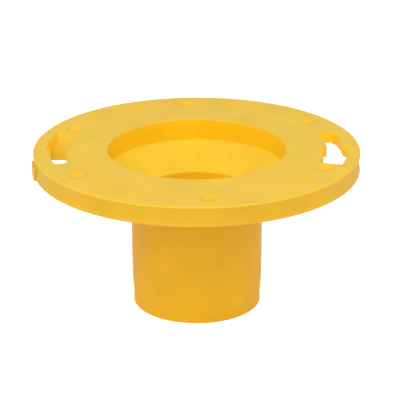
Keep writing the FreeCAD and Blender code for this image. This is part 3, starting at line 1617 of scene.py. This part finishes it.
@dataclass(frozen=True)
class Studio:
    """White floor, white surroundings, soft boxes and the camera."""

    world_strength: float = 0.70
    floor_glow: float = 0.10
    seen_floor_glow: float = 0.55
    floor_side: float = 6.0
    floor_tone: float = 0.9
    floor_roughness: float = 0.9
    sensor_width: float = 36.0
    camera_azimuth_deg: float = -4.86
    camera_elevation_deg: float = 19.61
    camera_distance: float = 1.0375
    camera_lens: float = 169.5
    camera_pitch_deg: float = -1.590
    camera_yaw_deg: float = -0.097
    camera_roll_deg: float = -0.12
    softboxes: tuple[Softbox, ...] = (
        Softbox("key_softbox", azimuth_deg=-10.0, elevation_deg=40.0, distance=1.2, side=0.8, power=5.4),
        Softbox("left_softbox", azimuth_deg=-75.0, elevation_deg=35.0, distance=1.2, side=0.8, power=3.0),
        Softbox("right_softbox", azimuth_deg=75.0, elevation_deg=35.0, distance=1.2, side=0.8, power=3.0),
    )

    def build(self) -> None:
        """Set the stage."""
        self.surroundings()
        self.floor()
        for softbox in self.softboxes:
            softbox.place(Vector((0.0, 0.0, 0.0)))
        self.camera()
        bpy.context.scene.view_settings.view_transform = "Standard"
        log.info("studio: %d soft boxes", len(self.softboxes))

    def surroundings(self) -> None:
        """Plain white world."""
        world = bpy.data.worlds.new("white_surroundings")
        graph = ShaderGraph(world)
        seen = graph.node("ShaderNodeLightPath").outputs["Is Camera Ray"]
        strength = graph.spread(seen, (0.0, 1.0), (self.world_strength, 1.0))
        inputs = {"Color": WHITE, "Strength": strength}
        background = graph.node("ShaderNodeBackground", inputs)
        graph.node("ShaderNodeOutputWorld", {"Surface": background.outputs[0]})
        bpy.context.scene.world = world

    def floor(self) -> None:
        """Pale floor under the spigot's end."""
        bm = bmesh.new()
        bmesh.ops.create_grid(bm, x_segments=1, y_segments=1, size=self.floor_side / 2.0)
        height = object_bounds()[0].z
        bmesh.ops.translate(bm, verts=bm.verts, vec=(0.0, 0.0, height))
        mesh = bpy.data.meshes.new("studio_floor")
        bm.to_mesh(mesh)
        bm.free()
        material = bpy.data.materials.new("studio_floor_white")
        graph = ShaderGraph(material)
        seen = graph.node("ShaderNodeLightPath").outputs["Is Camera Ray"]
        shader = graph.node(
            "ShaderNodeBsdfPrincipled",
            {
                "Base Color": (self.floor_tone, self.floor_tone, self.floor_tone, 1.0),
                "Roughness": self.floor_roughness,
                "Emission Color": WHITE,
                "Emission Strength": graph.spread(seen, (0.0, 1.0), (self.floor_glow, self.seen_floor_glow)),
            },
        )
        graph.node("ShaderNodeOutputMaterial", {"Surface": shader.outputs["BSDF"]})
        mesh.materials.append(material)
        new_object("studio_floor", mesh)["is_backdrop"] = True

    def camera(self) -> None:
        """Camera in front of the flange, a little above it."""
        data = bpy.data.cameras.new("camera")
        data.sensor_width = self.sensor_width
        data.lens = self.camera_lens
        made = new_object("camera", data)
        back = direction(self.camera_azimuth_deg, self.camera_elevation_deg)
        made.location = back * self.camera_distance
        made.rotation_mode = "QUATERNION"
        aim = (-back).to_track_quat("-Z", "Y")
        pitch = Quaternion((1.0, 0.0, 0.0), radians(self.camera_pitch_deg))
        yaw = Quaternion((0.0, 1.0, 0.0), radians(self.camera_yaw_deg))
        roll = Quaternion((0.0, 0.0, 1.0), radians(self.camera_roll_deg))
        made.rotation_quaternion = aim @ pitch @ yaw @ roll
        bpy.context.scene.camera = made


def members(shop: Workshop) -> Iterable[Member]:
    """Every member of the flange, in the order they are built.

    Args:
        shop: the workshop that they share.

    Yields:
        Each member.
    """
    sizes = shop.sizes
    yield DeckPlate(shop)
    yield RimSkirt(shop)
    yield ThroatCollar(shop)
    yield ReducerCone(shop)
    yield SpigotTube(shop)
    yield SpigotLeadIn(shop)
    yield BoltRamp(shop, "right", 0.0)
    yield BoltRamp(shop, "left", 180.0)
    yield GateTab(shop)
    yield RingRib(shop)
    inner = (sizes.collar_r, sizes.ring_rib_r - sizes.rib_wall)
    inner_repeat = Repeat(count=12, group_size=12, first_angle=0.0, pitch=30.0)
    yield RadialRibs(shop, "inner_rib_row", "inner_ribs", inner, inner_repeat)
    outer = (sizes.ring_rib_r, sizes.skirt_inner_r)
    outer_repeat = Repeat(
        count=14, group_size=7, first_angle=45.0, pitch=15.0, group_pitch=180.0, empty_place=3
    )
    yield RadialRibs(shop, "outer_rib_row", "outer_ribs", outer, outer_repeat)
    yield ScrewBosses(shop)
    yield RaisedMarks(shop)


def main() -> None:
    """Build the flange and its studio."""
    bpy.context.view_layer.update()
    Studio().build()
    shop = Workshop(FlangeSizes.from_frame(), LatheTree(), AroundTree(), MarkRowTree())
    for member in members(shop):
        member.finish()


if __name__ == "__main__":
    main()
